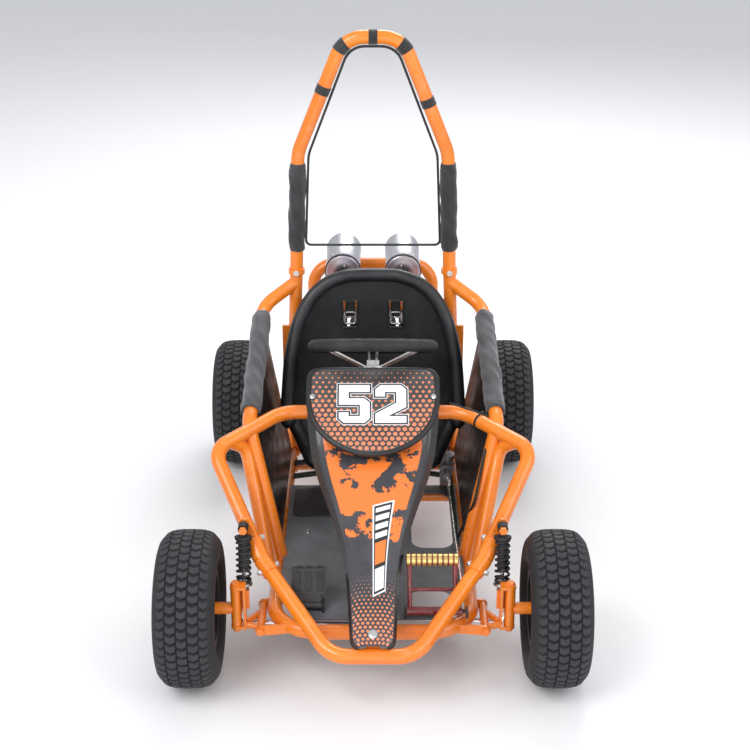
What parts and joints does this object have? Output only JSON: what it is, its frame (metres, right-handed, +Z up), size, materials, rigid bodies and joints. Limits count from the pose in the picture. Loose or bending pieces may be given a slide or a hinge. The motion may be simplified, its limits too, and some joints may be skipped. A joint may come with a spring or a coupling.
{
  "type": "off-road go kart",
  "caption": "Small off-road kart with an orange tube frame, roll hoop, bucket seat, nose fairing, sprung front arms and turf tyres.",
  "frame": {"origin": "on the ground under the middle of the kart, halfway between the axles", "axes": "-Y is the front of the kart, +X is its left side and +Z is up"},
  "size_m": [0.893, 1.33, 1.2096],
  "materials": {
    "orange_paint": "glossy powder coat",
    "floor_plate": "satin textured paint",
    "black_panel": "satin black paint",
    "black_moulding": "fine moulded grain",
    "grey_moulding": "glossy panel with printed dots",
    "foam_cover": "coated woven sleeve over foam",
    "webbing": "woven black tape",
    "zinc_steel": "bright zinc plate",
    "bright_steel": "polished",
    "cast_metal": "cast and machined",
    "red_paint": "gloss paint",
    "chain_steel": "oiled",
    "black_rubber": "matte",
    "black_rim": "gloss black",
    "turf_tyre": "moulded turf tread"
  },
  "bodies": {
    "chassis": {"lower_frame": "orange_paint", "seat_frame": "orange_paint", "side_rails": "orange_paint", "dash_hoop": "orange_paint", "front_bumper": "orange_paint", "roll_hoop": "orange_paint", "rear_guard": "orange_paint", "floor_pan": "floor_plate", "side_panels": "black_panel", "seat": "black_moulding", "seat_brackets": "black_panel", "nose_fairing": "black_moulding", "number_plate": "grey_moulding", "rail_pads": "foam_cover", "hoop_pads": "foam_cover", "hoop_straps": "webbing", "net_edge": "webbing", "column_bearings": "orange_paint", "master_cylinder": "cast_metal", "engine": "cast_metal", "recoil_starter": "orange_paint", "fuel_tank": "black_moulding", "exhaust": "bright_steel", "silencers": "bright_steel", "drive_chain": "chain_steel", "axle_bearings": "zinc_steel", "brake_caliper": "red_paint", "frame_bolts": "zinc_steel", "cables": "black_rubber", "pedal_brackets": "black_panel"},
    "rear_axle": {"rear_axle": "zinc_steel", "axle_sprocket": "chain_steel", "brake_disc": "bright_steel", "rear_rims": "black_rim", "rear_tyres": "turf_tyre"},
    "clutch": {"clutch_sprocket": "chain_steel"},
    "steering": {"steering_wheel": "black_rubber", "steering_column": "zinc_steel"},
    "shaft": {"steering_shaft": "zinc_steel"},
    "throttle": {"throttle_pedal": "black_moulding"},
    "brake": {"brake_pedal": "red_paint"},
    "brake_rod": {"brake_rod": "zinc_steel"},
    "front_arm_left": {"front_arm_left": "orange_paint"},
    "knuckle_left": {"knuckle_left": "orange_paint"},
    "front_wheel_left": {"front_rim_left": "black_rim", "front_tyre_left": "turf_tyre"},
    "shock_body_left": {"shock_body_left": "black_rubber", "spring_left": "black_rubber"},
    "shock_rod_left": {"shock_rod_left": "zinc_steel"},
    "rod_end_left": {"rod_end_left": "bright_steel"},
    "tie_rod_left": {"tie_rod_left": "bright_steel"},
    "front_arm_right": {"front_arm_right": "orange_paint"},
    "knuckle_right": {"knuckle_right": "orange_paint"},
    "front_wheel_right": {"front_rim_right": "black_rim", "front_tyre_right": "turf_tyre"},
    "shock_body_right": {"shock_body_right": "black_rubber", "spring_right": "black_rubber"},
    "shock_rod_right": {"shock_rod_right": "zinc_steel"},
    "rod_end_right": {"rod_end_right": "bright_steel"},
    "tie_rod_right": {"tie_rod_right": "bright_steel"}
  },
  "joints": [
    {"name": "rear_axle_spin", "type": "hinge", "parent": "chassis", "child": "rear_axle", "pos_m": [0, 0.5, 0.165], "axis": [1, 0, 0], "continuous": true},
    {"name": "clutch_spin", "type": "hinge", "parent": "chassis", "child": "clutch", "pos_m": [-0.13, 0.35, 0.265], "axis": [1, 0, 0], "continuous": true},
    {"name": "steering_turn", "type": "hinge", "parent": "chassis", "child": "steering", "pos_m": [0, -0.003, 0.49], "axis": [0, 0.4195, 0.9078], "range_deg": [-18, 18]},
    {"name": "shaft_turn", "type": "hinge", "parent": "chassis", "child": "shaft", "pos_m": [0, -0.47, 0.1396], "axis": [0, 0.9208, 0.39], "range_deg": [-25, 25]},
    {"name": "arm_lift_left", "type": "hinge", "parent": "chassis", "child": "front_arm_left", "pos_m": [0.236, -0.5, 0.125], "axis": [0, -1, 0], "range_deg": [0, 3.5], "stiffness_Nm_per_rad": 60, "springref_deg": -20.05},
    {"name": "kingpin_left", "type": "hinge", "parent": "front_arm_left", "child": "knuckle_left", "pos_m": [0.287, -0.5, 0.165], "axis": [0, 0, 1], "range_deg": [-23, 23]},
    {"name": "front_spin_left", "type": "hinge", "parent": "knuckle_left", "child": "front_wheel_left", "pos_m": [0.383, -0.5, 0.165], "axis": [1, 0, 0], "continuous": true},
    {"name": "shock_lean_left", "type": "hinge", "parent": "chassis", "child": "shock_body_left", "pos_m": [0.2725, -0.43, 0.318], "axis": [0, 1, 0], "range_deg": [0, 8]},
    {"name": "shock_stroke_left", "type": "slide", "parent": "shock_body_left", "child": "shock_rod_left", "axis": [0, 0.2814, 0.9596], "range_m": [0, 0.008], "deforming": ["spring_left"]},
    {"name": "rod_pin_left", "type": "hinge", "parent": "shaft", "child": "rod_end_left", "pos_m": [0, -0.44533, 0.10444], "axis": [0, 0.9208, 0.39], "range_deg": [-25, 25]},
    {"name": "tie_lift_left", "type": "hinge", "parent": "rod_end_left", "child": "tie_rod_left", "pos_m": [0.0173, -0.44533, 0.10444], "axis": [0, -1, 0], "range_deg": [0, 3]},
    {"name": "arm_lift_right", "type": "hinge", "parent": "chassis", "child": "front_arm_right", "pos_m": [-0.236, -0.5, 0.125], "axis": [0, 1, 0], "range_deg": [0, 3.5], "stiffness_Nm_per_rad": 60, "springref_deg": -20.05},
    {"name": "kingpin_right", "type": "hinge", "parent": "front_arm_right", "child": "knuckle_right", "pos_m": [-0.287, -0.5, 0.165], "axis": [0, 0, 1], "range_deg": [-23, 23]},
    {"name": "front_spin_right", "type": "hinge", "parent": "knuckle_right", "child": "front_wheel_right", "pos_m": [-0.383, -0.5, 0.165], "axis": [1, 0, 0], "continuous": true},
    {"name": "shock_lean_right", "type": "hinge", "parent": "chassis", "child": "shock_body_right", "pos_m": [-0.2725, -0.43, 0.318], "axis": [0, -1, 0], "range_deg": [0, 8]},
    {"name": "shock_stroke_right", "type": "slide", "parent": "shock_body_right", "child": "shock_rod_right", "axis": [0, 0.2814, 0.9596], "range_m": [0, 0.008], "deforming": ["spring_right"]},
    {"name": "rod_pin_right", "type": "hinge", "parent": "shaft", "child": "rod_end_right", "pos_m": [0, -0.46191, 0.09742], "axis": [0, 0.9208, 0.39], "range_deg": [-25, 25]},
    {"name": "tie_lift_right", "type": "hinge", "parent": "rod_end_right", "child": "tie_rod_right", "pos_m": [-0.0173, -0.46191, 0.09742], "axis": [0, 1, 0], "range_deg": [0, 3]},
    {"name": "throttle_press", "type": "hinge", "parent": "chassis", "child": "throttle", "pos_m": [-0.136, -0.486, 0.162], "axis": [1, 0, 0], "range_deg": [0, 16], "stiffness_Nm_per_rad": 0.8, "springref_deg": -17.19},
    {"name": "brake_press", "type": "hinge", "parent": "chassis", "child": "brake", "pos_m": [0.12, -0.51, 0.164], "axis": [1, 0, 0], "range_deg": [0, 10], "stiffness_Nm_per_rad": 4, "springref_deg": -14.32},
    {"name": "brake_pull", "type": "slide", "parent": "chassis", "child": "brake_rod", "axis": [0, -1, 0], "range_m": [0, 0.006]}
  ],
  "couplings": [
    {"joint": "clutch_spin", "follows": "rear_axle_spin", "ratio": 3.1818},
    {"joint": "shaft_turn", "follows": "steering_turn", "ratio": 1},
    {"joint": "kingpin_left", "follows": "steering_turn", "ratio": 0.89362},
    {"joint": "rod_pin_left", "follows": "steering_turn", "ratio": -1},
    {"joint": "shock_lean_left", "follows": "arm_lift_left", "ratio": 0.5},
    {"joint": "shock_stroke_left", "follows": "arm_lift_left", "m_per_rad": 0.0267},
    {"joint": "tie_lift_left", "follows": "arm_lift_left", "ratio": 0.19},
    {"joint": "kingpin_right", "follows": "steering_turn", "ratio": 0.89362},
    {"joint": "rod_pin_right", "follows": "steering_turn", "ratio": -1},
    {"joint": "shock_lean_right", "follows": "arm_lift_right", "ratio": 0.5},
    {"joint": "shock_stroke_right", "follows": "arm_lift_right", "m_per_rad": 0.0267},
    {"joint": "tie_lift_right", "follows": "arm_lift_right", "ratio": 0.19},
    {"joint": "brake_pull", "follows": "brake_press", "m_per_rad": 0.02}
  ]
}
